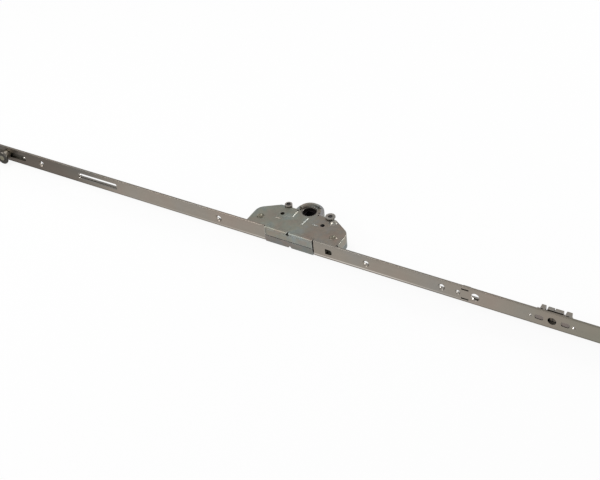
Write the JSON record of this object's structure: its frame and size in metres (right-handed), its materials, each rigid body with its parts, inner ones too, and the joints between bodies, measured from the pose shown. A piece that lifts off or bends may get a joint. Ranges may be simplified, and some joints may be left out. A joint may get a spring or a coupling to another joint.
{
  "type": "window espagnolette",
  "caption": "Window espagnolette: a long faceplate with a central gearbox whose turning follower drives a hidden rod and its mushroom locking cams lengthwise.",
  "frame": {"origin": "on the axis of the handle spindle, halfway through the width of the faceplate", "axes": "+X along the faceplate, to the right in the picture; -Y out of the front of the faceplate; +Z along the spindle towards the side that the picture shows"},
  "size_m": [0.74, 0.0573, 0.0179],
  "materials": {
    "plate_steel": "satin zinc plating",
    "rod_steel": "satin zinc plating",
    "rivet_steel": "peened steel",
    "follower_steel": "dark oiled steel",
    "bush_steel": "plain turned steel",
    "die_cast_zinc": "zinc die casting, satin",
    "bright_steel": "bright steel",
    "sleeve_steel": "turned steel",
    "cam_steel": "turned steel",
    "clip_steel": "bent strip",
    "housing_zinc": "zinc die casting, satin"
  },
  "bodies": {
    "frame": {"faceplate_left": "plate_steel", "faceplate_right": "plate_steel", "follower_bush_upper": "bush_steel", "follower_bush_lower": "bush_steel", "casing_upper": "die_cast_zinc", "casing_lower": "die_cast_zinc", "casing_rivets": "rivet_steel", "casing_domed_rivet": "bright_steel", "screw_sleeve_left": "sleeve_steel", "screw_sleeve_right": "sleeve_steel", "rod_guide_clip": "clip_steel", "guide_housing": "housing_zinc", "keeper_screw": "bright_steel"},
    "rod": {"drive_rod_left": "rod_steel", "drive_rod_right": "rod_steel", "rack_slider": "rod_steel", "slider_rivets": "rivet_steel", "cam_stud_left": "rivet_steel", "cam_stud_right": "rivet_steel"},
    "follower": {"follower": "follower_steel"},
    "cam_left": {"cam_mushroom_left": "cam_steel"},
    "cam_right": {"cam_mushroom_right": "cam_steel"}
  },
  "joints": [
    {"name": "rod_slide", "type": "slide", "parent": "frame", "child": "rod", "axis": [1, 0, 0], "range_m": [-0.018, 0.018]},
    {"name": "follower_turn", "type": "hinge", "parent": "frame", "child": "follower", "pos_m": [0, 0, 0], "axis": [0, 0, 1], "range_deg": [-90.2, 90.2]},
    {"name": "cam_left_spin", "type": "hinge", "parent": "rod", "child": "cam_left", "pos_m": [-0.329, -0.04, 0], "axis": [0, -1, 0], "continuous": true},
    {"name": "cam_right_spin", "type": "hinge", "parent": "rod", "child": "cam_right", "pos_m": [0.345, -0.04, 0], "axis": [0, -1, 0], "continuous": true}
  ],
  "couplings": [
    {"joint": "follower_turn", "follows": "rod_slide", "rad_per_m": 87.266}
  ]
}
